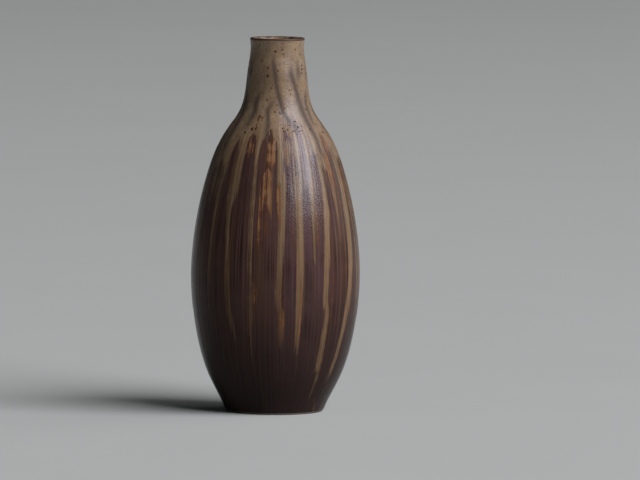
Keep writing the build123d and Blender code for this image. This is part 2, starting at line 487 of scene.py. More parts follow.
def make_buff_glaze():
    """Buff glaze, mottled and flecked, with grey veins where it has flowed."""
    material, tree, shader = new_material("buff_glaze")
    ground, fur, fine = glaze_colour(tree)
    cloud = noise(tree, 55, 4.0)
    mottle = noise(tree, 210)
    grain = noise(tree, 520)
    clear = attribute(tree, "clear")
    ground = mix(tree, maths(tree, "MULTIPLY", clear, 0.8), ground, BUFF)
    pale = maths(tree, "MULTIPLY", spread(tree, cloud, 0.4, 0.66), clear)
    ground = mix(tree, pale, ground, PALE_BUFF)
    pink = maths(tree, "MULTIPLY", spread(tree, mottle, 0.5, 0.68), clear)
    ground = mix(tree, pink, ground, PINK_BUFF)
    ground = mix(tree, spread(tree, grain, 0.54, 0.72, 0.0, 0.65), ground, OLIVE)
    # The vein value also carries the greyer patches, partly painted shade on the neck's left
    vein = attribute(tree, "vein")
    put(tree, shader.inputs["Base Color"], mix(tree, vein, ground, VEIN_AND_SHADE_GREY))
    roughness, gloss, streaks = streaked_finish(tree, fur, fine)
    roughness = blend(tree, clear, roughness, spread(tree, mottle, 0.3, 0.7, 0.26, 0.42))
    gloss = blend(tree, clear, gloss, spread(tree, vein, 0.0, 1.0, 0.46, 0.2))
    shader.inputs["Specular Tint"].default_value = HIGHLIGHT_TINT
    relief = blend(tree, clear, streaks, blend(tree, 0.4, mottle, grain))
    finish(tree, shader, roughness, gloss, relief, COLLAR_BUMP)
    return material


def fleck(tree, shader, grain, flecks, ground, shade, roughness):
    """Flecks of another shade in a ground, and a roughness of the same grain."""
    amount = spread(tree, grain, *flecks)
    put(tree, shader.inputs["Base Color"], mix(tree, amount, ground, shade))
    put(tree, shader.inputs["Roughness"], spread(tree, grain, 0.3, 0.7, *roughness))


def make_lip_glaze():
    """Iron-brown glaze drawn thin over the lip, breaking to buff down the outside."""
    material, tree, shader = new_material("lip_glaze")
    patch = noise(tree, 75)
    grain = noise(tree, 600, 2.0)
    bare = maths(tree, "ADD", attribute(tree, "buff"), spread(tree, patch, 0.35, 0.65, -0.35, 0.35))
    ground = mix(tree, spread(tree, bare, 0.3, 0.8), LIP_BROWN, BUFF)
    fleck(tree, shader, grain, (0.5, 0.75, 0.0, 0.4), ground, IRON, (0.42, 0.56))
    bump(tree, shader, grain, LIP_BUMP, 0.4)
    return material


def make_liner_glaze():
    """Thin grey-brown glaze on the inside."""
    material, tree, shader = new_material("liner_glaze")
    cloud = noise(tree, 70, 4.0)
    grain = noise(tree, 450)
    ground = mix(tree, spread(tree, cloud, 0.35, 0.65), LINER_DARK, LINER_PALE)
    fleck(tree, shader, grain, (0.55, 0.75, 0.0, 0.5), ground, IRON, (0.4, 0.52))
    bump(tree, shader, grain, LINER_BUMP, 0.35)
    return material


def make_speck_glaze():
    """Iron specks: near black, some of them rusty."""
    material, tree, shader = new_material("iron_speck")
    grain = noise(tree, 900, 2.0)
    ground = mix(tree, attribute(tree, "warm"), IRON, RUST)
    fleck(tree, shader, grain, (0.5, 0.75, 0.0, 0.6), ground, RUST, (0.35, 0.5))
    return material


def make_bare_clay():
    """Unglazed stoneware, pinkish brown with a sandy grain."""
    material, tree, shader = new_material("bare_clay")
    cloud = noise(tree, 60)
    grain = noise(tree, 900, 4.0)
    ground = mix(tree, spread(tree, cloud, 0.35, 0.65), CLAY_DARK, CLAY_PALE)
    fleck(tree, shader, grain, (0.56, 0.72), ground, CLAY_SAND, (0.72, 0.9))
    bump(tree, shader, grain, CLAY_BUMP, 0.6)
    return material


dark_glaze = make_streaked_glaze("dark_glaze")
buff_glaze = make_buff_glaze()
run_glaze = make_streaked_glaze("run_glaze")
lip_glaze = make_lip_glaze()
liner_glaze = make_liner_glaze()
speck_glaze = make_speck_glaze()
bare_clay = make_bare_clay()


# Paths of the runs
RUN_TOP = 227 * MM
RUN_STEP = 1.0 * MM
RUN_WANDER = radians(0.9)
RUN_SWELL = 0.2
SIDE_RUN_HALF = 3.3 * MM
SIDE_RUN_TAPER = 1.1 * MM
SIDE_RUN_SWELL = 0.5 * MM
PATH_EVENING = 4
END_CORNERS = 6
run_wander = wall_noise(40, 22)
run_swell = wall_noise(60, 45)


def node_ends(node):
    """Azimuth at the root and the tip of a run's solid, and height of its tip."""
    corners = np.array([vertex.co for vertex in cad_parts[node].data.vertices])
    azimuth = np.arctan2(corners[:, 0], -corners[:, 1])
    middle = azimuth[0] + turn_between(azimuth, azimuth[0])
    order = np.argsort(corners[:, 2])
    tip = middle[order[:END_CORNERS]].mean()
    root = middle[order[-END_CORNERS:]].mean()
    return root, tip, corners[:, 2].min()


def run_path(number):
    """Heights down a run, from tip to root, with its azimuth and half width at each."""
    if number in FRONT_RUNS:
        stations = np.array(FRONT_RUNS[number][::-1])
        heights = np.arange(stations[0, 0], stations[-1, 0], RUN_STEP / MM)
        azimuth = radians(1) * np.interp(heights, stations[:, 0], stations[:, 1])
        width = np.interp(heights, stations[:, 0], stations[:, 2])
        return heights * MM, azimuth, width * MM / 2
    root, tip, low = node_ends(f"glaze_run_{number:02d}")
    heights = np.arange(low, RUN_TOP, RUN_STEP)
    fall = (RUN_TOP - heights) / (RUN_TOP - low)
    azimuth = root + (tip - root) * fall + RUN_WANDER * run_wander(root, heights)
    half = SIDE_RUN_HALF - SIDE_RUN_TAPER * fall + SIDE_RUN_SWELL * run_swell(root, heights)
    return heights, azimuth, half


def evened(values, reach):
    """Running mean, so that a path bends smoothly."""
    padded = np.concatenate([np.full(reach, values[0]), values, np.full(reach, values[-1])])
    return np.convolve(padded, np.ones(2 * reach + 1) / (2 * reach + 1), mode="valid")


RUN_NUMBERS = range(1, 1 + sum(name.startswith("glaze_run_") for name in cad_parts))
paths = {}
for number in RUN_NUMBERS:
    heights, azimuth, half = run_path(number)
    half = evened(half, PATH_EVENING) * (1 + RUN_SWELL * run_swell(azimuth, heights))
    paths[number] = (heights, evened(azimuth, PATH_EVENING), half)


# Buff, fade at the tip in millimetres, stain and rust: of runs by number, then of all others
RUN_AMOUNTS = {
    1: (0.6, 30, 0.55, 0), 2: (0.8, 24, 0.9, 0.1), 3: (0.5, 56, 0.95, 0.18), 5: (0.9, 36, 0.3, 0.4),
    6: (0.78, 8, 0.35, 0.22), 7: (0.8, 17, 0.4, 0.2), 8: (0.72, 40, 0.75, 0.42),
    9: (0.92, 28, 0.15, 0.32), 21: (0.56, 30, 0.75, 0),
}
OTHER_RUN = (0.8, 30, 0.75, 0.4)
RUN_FADE = 0.22
RUN_TIP_BLEND = 3 * MM

# Strokes of thin buff: azimuth in degrees, top and bottom in millimetres, half width in degrees, amount
STROKES = [
    (-74, 228, 140, 9, 0.66), (-59, 228, 150, 8, 0.6), (-41, 226, 203, 2.5, 0.46),
    (-44, 216, 156, 3.5, 0.42), (-27.5, 214, 207, 4.5, 0.56), (-3.4, 206, 150, 0.9, 0.6),
    (9.2, 223, 196, 3.4, 0.85), (13.6, 224, 204, 1.6, 0.6), (24.5, 212, 190, 1, 0.36),
    (33, 205, 185, 1.2, 0.4), (46.5, 228, 200, 3, 0.74), (54, 190, 120, 1.8, 0.26),
    (66, 226, 130, 4.5, 0.84), (77, 228, 120, 7, 0.64), (77, 160, 40, 6, 0.4), (49, 168, 120, 1.4, 0.3),
    (57.5, 180, 110, 1.6, 0.34), (39.2, 40, 6, 2.2, 0.42),
]

# Strokes of rust, as the strokes of buff
RUST_STROKES = [
    (-26, 222, 207, 4, 0.5), (-6.8, 219, 192, 2.4, 0.7), (-2, 220, 190, 2.6, 0.7),
    (3, 197, 146, 1.4, 0.38), (-8.8, 197, 158, 2, 0.82), (-5.6, 199, 158, 2.3, 0.88),
    (-12, 188, 126, 1.1, 0.56), (-8, 172, 122, 2.4, 0.36), (1.6, 190, 162, 1.4, 0.66),
    (9, 222, 199, 2.6, 0.42), (32, 186, 120, 1.9, 0.33), (31.4, 156, 116, 1.6, 0.28),
    (52.4, 219, 174, 3.2, 0.58), (58.8, 222, 192, 2.8, 0.54), (58, 192, 136, 2.6, 0.34),
    (70.5, 215, 150, 1.3, 0.44), (4.6, 96, 48, 2.8, 0.38), (12, 178, 118, 1, 0.36),
    (38.5, 28, 8, 3, 0.24), (52, 13, 3, 7, 0.36), (-39.5, 210, 168, 1, 0.36),
    (45.5, 140, 86, 1.6, 0.26), (-13.8, 110, 84, 2, 0.4), (42, 112, 40, 2.4, 0.27),
    (-24, 192, 116, 1.1, 0.32), (57, 150, 70, 2.2, 0.32), (-3, 130, 60, 3, 0.22),
]

# Dark lines and patches in the buff, as the strokes of buff
WASHES = [
    (0.3, 221, 197, 0.6, 0.8), (8, 222, 206, 0.5, 0.6), (11.8, 224, 203, 0.6, 0.5),
    (16.8, 204, 186, 0.8, 0.4), (36, 220, 196, 0.8, 0.7), (44.2, 197, 158, 0.9, 0.8),
    (48.6, 224, 196, 0.6, 0.5), (-15.2, 222, 200, 0.6, 0.7), (-21.6, 222, 190, 0.6, 0.7),
    (-45, 215, 165, 1.4, 0.6), (-19.3, 215, 160, 0.5, 0.5), (18.5, 204, 184, 3, 0.3),
    (30.8, 206, 180, 2.8, 0.4), (7.2, 199, 186, 0.7, 0.6), (42, 220, 190, 0.5, 0.4),
    (45.4, 215, 176, 0.8, 0.7), (55.6, 214, 150, 1, 0.8), (61.8, 222, 168, 0.9, 0.8),
    (65, 214, 168, 0.7, 0.6), (70.6, 222, 150, 1.2, 0.75), (74.8, 220, 150, 1, 0.65),
    (-57, 222, 170, 1.2, 0.4), (-66, 220, 160, 1.6, 0.4),
]

# Painted sheen: where the dark coat is tinted violet, at the front beside the highlight and in copies
# round the back, as the strokes of buff
VIOLET_SHEEN_STROKES = [
    (21, 235, 30, 18, 1), (104, 235, 40, 16, 0.9), (196, 235, 30, 20, 0.9), (287, 235, 40, 15, 0.8),
]

# Patches of duller glaze, as the strokes of buff
DULL_STROKES = [
    (9, 240, 180, 5.6, 0.66), (35.8, 200, 140, 2.8, 0.42), (48, 215, 60, 8.5, 0.6),
    (13.9, 216, 176, 0.6, 0.8), (17, 212, 186, 0.5, 0.45), (22.6, 208, 158, 0.7, 0.55),
    (25.6, 214, 180, 0.5, 0.4), (25.4, 180, 140, 2, 0.35), (14, 240, 196, 5, 0.48),
    (3.5, 232, 130, 7.5, 0.44), (21, 172, 112, 11, 0.3),
]

# Arched edge of the buff coat: low points, seeded tops, and tops beside the front's runs in millimetres
ARCH_LOW = 188 * MM
ARCH_TOPS = (212 * MM, 225 * MM)
FRONT_ARCHES = {
    21: 198, 1: 215, 2: 223, 3: 224.5, 4: 222, 5: 226, 6: 207, 7: 192, 8: 221, 9: 200, 10: 214,
}
ARCH_SHOULDER = 2.2
ARCH_FLATNESS = 0.6
EDGE_WOBBLE = 2.0 * MM
EDGE_STRIPES = 1.6 * MM
EDGE_RUST = 9 * MM
EDGE_RUST_AMOUNT = 0.34
EDGE_SPAN = (-1 * MM, 3 * MM)
FAR_SPAN = (3 * MM, 26 * MM)
FAR_SHARE = 0.16
EDGE_SOFTNESS = 1.4
SOFT_EDGE_GAIN = 2.2
SOFT_EDGE_MIDDLE = radians(23)
SOFT_EDGE_HALF = radians(19)

# Seeded strokes of the sides and back, in degrees and millimetres
SIDE_SPAN = (78, 288)
SIDE_JITTER = 3
SIDE_TOPS = (216, 225)
SIDE_LENGTHS = (18, 90)
SIDE_STROKE_COUNT = 30
SIDE_WASH_COUNT = 40

# Ends and stripes of the strokes
STROKE_END = (-3 * MM, 2 * MM)
STRIPE_FADE = (90 * MM, 190 * MM)
RAGGED_LEVEL = 100 * MM
RAGGED_FINE = 9.0 * MM
RAGGED_COARSE = 6.0 * MM


def side_strokes(count, half_widths, amounts):
    """Seeded strokes round the sides and back, like those of the front."""
    for azimuth in np.linspace(*SIDE_SPAN, count) + rng.uniform(-SIDE_JITTER, SIDE_JITTER, count):
        top = rng.uniform(*SIDE_TOPS)
        bottom = top - rng.uniform(*SIDE_LENGTHS)
        yield azimuth, top, bottom, rng.uniform(*half_widths), rng.uniform(*amounts)


def make_arches():
    """Arches of the buff coat from run to run, as azimuth, gap and top."""
    roots = sorted((paths[number][1][-1] % (2 * pi), number) for number in RUN_NUMBERS)
    for index, (left, number) in enumerate(roots):
        gap = (roots[(index + 1) % len(roots)][0] - left) % (2 * pi)
        top = FRONT_ARCHES[number] * MM if number in FRONT_ARCHES else rng.uniform(*ARCH_TOPS)
        yield left, gap, top


all_strokes = STROKES + list(side_strokes(SIDE_STROKE_COUNT, (1.0, 3.5), (0.35, 0.66)))
all_rust = RUST_STROKES + list(side_strokes(SIDE_STROKE_COUNT, (0.8, 2.4), (0.36, 0.8)))
all_washes = WASHES + list(side_strokes(SIDE_WASH_COUNT, (0.5, 1.6), (0.5, 0.85)))
all_arches = list(make_arches())
stripes = wall_noise(108, 9)
thin_stripes = wall_noise(190, 14)
edge_wobble = wall_noise(170, 4)


def arch_edge(azimuth):
    """Height of the buff coat's lower edge: an arch between each two runs."""
    edge = np.full_like(azimuth, ARCH_LOW)
    for left, gap, top in all_arches:
        part = ((azimuth - left) % (2 * pi)) / gap
        inside = part < 1
        arch = (1 - np.abs(2 * part[inside] - 1) ** ARCH_SHOULDER) ** ARCH_FLATNESS
        edge[inside] = ARCH_LOW + (top - ARCH_LOW) * arch
    return edge + EDGE_WOBBLE * edge_wobble(azimuth, 0) + EDGE_STRIPES * thin_stripes(azimuth, 0)


def run_profile(number, azimuth, height):
    """Half widths from the middle of a run, and how far down it each place is, from 0 to 1."""
    heights, path, half = paths[number]
    away = turn_between(azimuth, np.interp(height, heights, path)) * wall_radius(height)
    fall = np.clip((heights[-1] - height) / (heights[-1] - heights[0]), 0, 1)
    return away / np.interp(height, heights, half), fall


def run_end(number, height):
    """1 along a run, 0 below its tip."""
    tip = paths[number][0][0]
    fade = RUN_AMOUNTS.get(number, OTHER_RUN)[1] * MM
    return smooth_step(height, tip - RUN_TIP_BLEND, tip + fade)


def run_cover(number, azimuth, height):
    """Buff glaze of one run: most along its middle, less towards its tip."""
    away, fall = run_profile(number, azimuth, height)
    strength = RUN_AMOUNTS.get(number, OTHER_RUN)[0] * (1 - RUN_FADE * smooth_step(fall, 0.3, 0.95))
    return strength * np.exp(-0.8 * away ** 4) * run_end(number, height)


def run_stain(number, azimuth, height):
    """Brown drawn from the dark coat into one run, more towards its tip."""
    away, fall = run_profile(number, azimuth, height)
    strength = RUN_AMOUNTS.get(number, OTHER_RUN)[2]
    return strength * smooth_step(fall, 0.25, 0.85) * np.exp(-0.4 * away ** 4)


def run_rust(number, azimuth, height):
    """Rust of one run: along its right side, and more towards its tip."""
    away, fall = run_profile(number, azimuth, height)
    low = smooth_step(fall, 0.35, 0.85)
    across = np.exp(-((away - 0.7 + 0.4 * low) / (0.5 + 0.4 * low)) ** 2)
    strength = RUN_AMOUNTS.get(number, OTHER_RUN)[3]
    amount = strength * (0.5 + 0.5 * low) * smooth_step(fall, 0.1, 0.4)
    return amount * across * run_end(number, height)


def stroke(azimuth, height, middle, top, bottom, half):
    """An upright stroke from 0 to 1, which fades out downwards."""
    across = np.exp(-(turn_between(azimuth, radians(middle)) / radians(half)) ** 4)
    halfway = 0.5 * (bottom + top) * MM
    over_top = smooth_step(height - top * MM, *STROKE_END)
    return across * smooth_step(height, bottom * MM, halfway) * (1 - over_top)


def edge_softness(azimuth):
    """How gradually the collar gives way to the dark coat, most in the highlight."""
    away = turn_between(azimuth, SOFT_EDGE_MIDDLE) / SOFT_EDGE_HALF
    return EDGE_SOFTNESS + SOFT_EDGE_GAIN * np.exp(-away ** 4)


def striping(azimuth, height):
    """Fine upright stripes from -1 to 1, weak low down."""
    both = 0.6 * stripes(azimuth, height) + 0.4 * thin_stripes(azimuth, height)
    return both * (0.3 + 0.7 * smooth_step(height, *STRIPE_FADE))


def most(azimuth, height, strokes):
    """The strongest of many strokes at each place, with ragged ends."""
    ragged = height + RAGGED_FINE * thin_stripes(azimuth, RAGGED_LEVEL)
    ragged = ragged + RAGGED_COARSE * stripes(azimuth, height)
    amount = 0 * (azimuth + height)
    for middle, top, bottom, half, strength in strokes:
        amount = np.maximum(amount, strength * stroke(azimuth, ragged, middle, top, bottom, half))
    return amount


def collar_amount(azimuth, height):
    """Buff glaze of the collar, over its arched edge."""
    over_edge = height - arch_edge(azimuth)
    near = smooth_step(over_edge / edge_softness(azimuth), *EDGE_SPAN)
    return (1 - FAR_SHARE) * near + FAR_SHARE * smooth_step(over_edge, *FAR_SPAN)


def with_runs(amount, run_part, azimuth, height):
    """The stronger of an amount and what any run adds, at each place."""
    for number in RUN_NUMBERS:
        amount = np.maximum(amount, run_part(number, azimuth, height))
    return amount


def cover(azimuth, height):
    """How much buff glaze lies on the dark coat, from 0 to 1."""
    amount = with_runs(most(azimuth, height, all_strokes), run_cover, azimuth, height)
    amount = np.maximum(amount, collar_amount(azimuth, height))
    amount = amount * (1 - most(azimuth, height, all_washes))
    return np.clip(amount + 0.2 * striping(azimuth, height), 0, 1)


def rust(azimuth, height):
    """How much rust shows, from 0 to 1: strokes, runs and the line under the collar."""
    amount = with_runs(most(azimuth, height, all_rust), run_rust, azimuth, height)
    under = (arch_edge(azimuth) - height) / EDGE_RUST
    line = smooth_step(under, -0.3, 0.1) * (1 - smooth_step(under, 0.2, 1.0)) / edge_softness(azimuth)
    amount = np.maximum(amount, EDGE_RUST_AMOUNT * line)
    amount = amount * (1 + 0.3 * striping(azimuth + 2, height)) + 0.12 * striping(azimuth + 1, height)
    return np.clip(amount * (1 - smooth_step(collar_amount(azimuth, height), 0.7, 1.0)), 0, 1)


def glaze_values(azimuth, height):
    """Per-point values that the glaze materials read."""
    return {
        "cover": cover(azimuth, height),
        "rust": rust(azimuth, height),
        "stain": with_runs(0 * (azimuth + height), run_stain, azimuth, height),
        "dull": most(azimuth, height, DULL_STROKES),
        "violet_sheen": most(azimuth, height, VIOLET_SHEEN_STROKES),
    }


# Dark coat over the belly
base_low, base_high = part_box("base_glaze")
columns = np.arange(COLUMNS)[None, :] * 2 * pi / COLUMNS
base_rows = np.concatenate([
    base_low.z + EDGE_ROWS[:-1],
    np.arange(base_low.z + EDGE_ROWS[-1], LOW_ROWS_TOP, LOW_ROW_STEP),
    np.arange(LOW_ROWS_TOP, base_high.z, ROW_STEP),
])
base_heights = base_rows[:, None] + 0 * columns
edge_rise = np.clip((base_heights - base_low.z) / COAT_EDGE, 0, 1)
base_depths = base_depth(columns, base_heights) * np.sqrt(1 - (1 - edge_rise) ** 2)
make_coat(
    "dark_coat", columns, base_heights, base_depths, glaze_values(columns, base_heights),
    dark_glaze, ["base_glaze"],
)


# Buff coat over neck and shoulder. Veins from the top down: height in millimetres, azimuth in degrees
VEINS = [
    [
        (290, -9), (282, -9.7), (275, -6.7), (266, -3), (258, 1), (252, 5), (246, 7.5), (241, 10),
        (236, 15), (229, 21.5), (224, 25),
    ],
    [(254, -3), (249, -9.5), (243, -15), (237, -13.5), (230, -12), (223, -14)],
    [
        (283, 30), (272, 27), (263, 34), (255, 40), (245, 44), (237, 46), (231, 46.5), (224, 47.5),
        (206, 48),
    ],
    [(262, -26), (255, -33.5), (248, -39), (243, -37.5), (230, -41)],
    [(285, 48), (267, 45)],
]
VEIN_TURNS = (0, 97, 168, 251)

# Broad greyer patches of the neck, the front one on its left partly painted shade, as the strokes of
# buff
GREY_AND_SHADE_PATCHES = [
    (-30, 302, 236, 20, 0.34), (75, 302, 250, 18, 0.2), (160, 302, 236, 24, 0.3),
    (240, 300, 240, 18, 0.3),
]
VEIN_WIDTH = 2.6 * MM
VEIN_SWELL = 0.45
VEIN_WANDER = radians(2.0)
VEIN_DEPTH = 1.5
VEIN_STRENGTH = 0.92
VEIN_LOW_END = (-6 * MM, 8 * MM)
VEIN_HIGH_END = (-14 * MM, 4 * MM)
CLEAR_SPAN = (0.7 * MM, 6 * MM)
NECK_THINNING = 0.62
NECK_THIN_SPAN = 32 * MM
NECK_THIN_END = 5 * MM
COLLAR_ROWS = 110
EDGE_REACH = 32


def veins_and_shade(azimuth, height):
    """Greyer patches of the neck, the front one on its left partly painted shade, and grey veins down
    it, the front's repeated round the back.
    """
    amount = most(azimuth, height, GREY_AND_SHADE_PATCHES)
    for turn in VEIN_TURNS:
        for vein in VEINS:
            stations = np.array(vein[::-1])
            path = radians(1) * (turn + np.interp(height / MM, stations[:, 0], stations[:, 1]))
            path = path + VEIN_WANDER * run_wander(path, height)
            width = VEIN_WIDTH * (1 + VEIN_SWELL * run_swell(path, height))
            away = np.abs(turn_between(azimuth, path)) * wall_radius(height) / width
            span = smooth_step(height - stations[0, 0] * MM, *VEIN_LOW_END)
            span = span * (1 - smooth_step(height - stations[-1, 0] * MM, *VEIN_HIGH_END))
            amount = np.maximum(amount, span * np.exp(-away ** 2))
    return amount


def collar_depth(azimuth, height, crown):
    """Outside of the buff coat: swelling, lower in the veins, and drawn thin under the lip."""
    relief = COLLAR_RELIEF * (swell(azimuth, height) - VEIN_DEPTH * veins_and_shade(azimuth, height))
    thinning = NECK_THINNING * smooth_step(height, wall_top - NECK_THIN_SPAN, wall_top - NECK_THIN_END)
    return (base_depth(azimuth, height) + (TOP_COAT + relief) * crown) * (1 - thinning)


def distance_from_edge(edges, height):
    """Distance of each place on the collar from its lower edge."""
    column_width = wall_radius(height) * 2 * pi / COLUMNS
    nearest = height - edges
    for shift in range(-EDGE_REACH, EDGE_REACH + 1):
        rise = np.maximum(height - np.roll(edges, shift), 0)
        nearest = np.minimum(nearest, np.hypot(shift * column_width, rise))
    return nearest


collar_edges = arch_edge(columns)
even_part = np.linspace(0, 1, COLLAR_ROWS)[1:, None]
near_edge = collar_edges + EDGE_ROWS[:, None]
collar_heights = np.concatenate([near_edge, near_edge[-1:] + (wall_top - near_edge[-1:]) * even_part])
from_edge = distance_from_edge(collar_edges, collar_heights) / edge_softness(columns)
crown = 0.1 + 0.9 * smooth_step(from_edge, 0, COLLAR_EDGE)
collar_depths = collar_depth(columns, collar_heights, crown)
collar_values = glaze_values(columns, collar_heights) | {
    # Veins, and the greyer patches that are partly painted shade on the neck's left
    "vein": VEIN_STRENGTH * veins_and_shade(columns, collar_heights),
    "clear": smooth_step(from_edge, *CLEAR_SPAN),
}
make_coat(
    "buff_coat", columns, collar_heights, collar_depths, collar_values,
    buff_glaze, ["collar_glaze"],
)


# Runs of buff glaze down the belly
RUN_COLUMNS = 15
TIP_ROWS = 9
TIP_START = 0.12


def make_run(number):
    """One run: a bead of glaze along its path, round at the tip, its root under the buff coat."""
    heights, azimuth, half = paths[number]
    tip_half = half[0]
    tip_angle = np.linspace(TIP_START, 1, TIP_ROWS) * pi / 2
    tip_heights = heights[0] + tip_half * (1 - np.cos(tip_angle))
    heights = np.concatenate([tip_heights, heights[heights > tip_heights[-1] + 0.5 * RUN_STEP]])
    azimuth = np.interp(heights, paths[number][0], azimuth)
    half = np.interp(heights, paths[number][0], half)
    half[:TIP_ROWS] = tip_half * np.sin(tip_angle)
    across = np.sin(np.linspace(-1, 1, RUN_COLUMNS) * pi / 2)
    over = azimuth[:, None] + (half / wall_radius(heights))[:, None] * across
    bead = RUN_BEAD * (1 - across ** 2) ** 2
    rise = np.clip(half / tip_half, 0, 1)[:, None] * bead
    level = heights[:, None]
    top_depth = np.minimum(base_depth(over, level) - RUN_SINK + rise, BASE_COAT + TOP_COAT)
    under = over[:, -2:0:-1]
    points = np.concatenate([
        wall_points(over, level, top_depth),
        wall_points(under, level, BASE_COAT - COAT_SINK),
    ], axis=1)
    ring = points.shape[1]
    values = glaze_values(over, level)
    values = {key: np.concatenate([value, value[:, -2:0:-1]], axis=1) for key, value in values.items()}
    faces = grid_faces(len(heights), ring, closed=False)
    faces.append(list(range(ring))[::-1])
    faces.append([(len(heights) - 1) * ring + column for column in range(ring)])
    node = f"glaze_run_{number:02d}"
    make_piece(f"run_{number:02d}", points, faces, values, run_glaze, [node])


for number in RUN_NUMBERS:
    make_run(number)


# Lip and inside
LIP_FLARE = 0.5 * MM
LIP_SKIRT = 3.0 * MM
LIP_COVER = 0.15 * MM
LIP_LINE = 1.8 * MM
LIP_ROWS = 30
LIP_COLUMN_STEP = 2
CREST_ROWS = 7
LIP_CORE = 0.55
LINER_COAT = 0.15 * MM
LINER_STEP = 2.0 * MM
LINER_COLUMN_STEP = 4
FLOOR_ROUND = 9.0 * MM
FLOOR_ROUND_ROWS = 7
FLOOR_ROWS = 11
AXIS_GAP = 0.3 * MM


def turned(profile, columns):
    """A profile of radius and height turned about the axis."""
    radius, height = profile[:, :1], profile[:, 1:]
    return np.stack([radius * np.sin(columns), -radius * np.cos(columns), height + 0 * columns], axis=-1)


def lip_profile():
    """Radius and height over the lip: a skirt flared to a crisp edge, then a crest to the throat."""
    outer = lip_high.x - BASE_COAT
    top = clay_high.z
    thin_coat = (BASE_COAT + TOP_COAT) * (1 - NECK_THINNING)
    skirt = wall_radius(top - LIP_SKIRT) + thin_coat
    stations = [
        (skirt - 0.35 * MM, top - LIP_SKIRT - 0.8 * MM),
        (skirt, top - LIP_SKIRT),
        (outer + 0.5 * LIP_FLARE, top - 1.7 * MM),
        (outer + LIP_FLARE, top - 0.9 * MM),
        (outer + 0.7 * LIP_FLARE, top - 0.3 * MM),
        (outer - 0.3 * MM, top + LIP_COVER),
    ]
    cover_round = throat_round + LIP_COVER
    for turn in np.linspace(0, pi / 2, CREST_ROWS):
        stations.append((crest_radius - cover_round * sin(turn), throat_top + cover_round * cos(turn)))
    stations.append((throat_radius - LIP_COVER, throat_top - 0.5 * MM))
    stations = np.array(stations)
    steps = np.concatenate([[0], np.cumsum(np.linalg.norm(np.diff(stations, axis=0), axis=1))])
    places = np.linspace(0, steps[-1], LIP_ROWS)
    radius = evened(np.interp(places, steps, stations[:, 0]), 1)
    height = evened(np.interp(places, steps, stations[:, 1]), 1)
    return np.stack([radius, height], axis=-1)


def make_lip():
    """The lip: buff up its outside, with the iron line on its edge and crest."""
    over = lip_profile()
    centre = np.array([[(throat_radius + crest_radius) / 2, throat_top]])
    under = (centre + LIP_CORE * (over - centre))[::-3]
    profile = np.concatenate([over, under])
    points = turned(profile, columns[:, ::LIP_COLUMN_STEP])
    below = 1 - smooth_step(profile[:, 1], clay_high.z - LIP_LINE, clay_high.z - 0.5 * LIP_LINE)
    inward = smooth_step(crest_radius - profile[:, 0], 0, LIP_LINE)
    buff = np.maximum(below, 0.75 * inward)
    values = {"buff": buff[:, None] * np.ones(points.shape[1])}
    make_closed("lip_line", points, values, lip_glaze, ["lip_glaze"])


def make_liner():
    """The thin coat inside, from the lip down the throat to a rounded floor."""
    heights = np.arange(floor_height + FLOOR_ROUND, throat_top, OUTLINE_STEP)
    inside = smoothed(np.array([radius_at(height, 0, 1) for height in heights]))
    keep = slice(None, None, int(LINER_STEP / OUTLINE_STEP))
    wall = np.stack([inside, heights], axis=-1)[keep]
    turn = np.linspace(0, pi / 2, FLOOR_ROUND_ROWS + 1)[1:, None]
    corner_centre = wall[0] - np.array([FLOOR_ROUND, 0])
    corner = corner_centre + FLOOR_ROUND * np.concatenate([np.cos(turn), -np.sin(turn)], axis=1)
    base_radii = np.linspace(corner_centre[0], AXIS_GAP, FLOOR_ROWS + 1)[1:]
    base = np.stack([base_radii, np.full(FLOOR_ROWS, corner[-1, 1])], axis=-1)
    profile = np.concatenate([wall[::-1], corner, base])
    away = np.gradient(profile, axis=0)
    square = np.stack([away[:, 1], -away[:, 0]], axis=-1) / np.linalg.norm(away, axis=1, keepdims=True)
    skin = profile + LINER_COAT * square
    back = (profile - COAT_SINK * square)[::-1]
    points = turned(np.concatenate([skin, back])[::-1], columns[:, ::LINER_COLUMN_STEP])
    make_closed("liner_coat", points, {}, liner_glaze)


make_lip()
make_liner()
clay_node.data.materials.clear()
clay_node.data.materials.append(bare_clay)


# Iron specks in the buff coat: crest, rings as share of the radius and depth, and root under the skin
SPECK_COUNT = 360
SPECK_SIDES = 9
SPECK_CREST = 0.05 * MM
SPECK_RINGS = [(0.6, 0.03 * MM), (1.0, -0.02 * MM)]
SPECK_ROOT = 0.3 * MM
SPECK_HEIGHTS = (229 * MM, 296 * MM)
SPECK_SIZE = 0.28 * MM
SPECK_GROWTH = 0.6 * MM
SPECK_RAGGED = (0.7, 1.2)
SPECK_WARMTH = (0.1, 0.9)
FRONT_SPAN = radians(72)
FRONT_SHRINK = 0.65

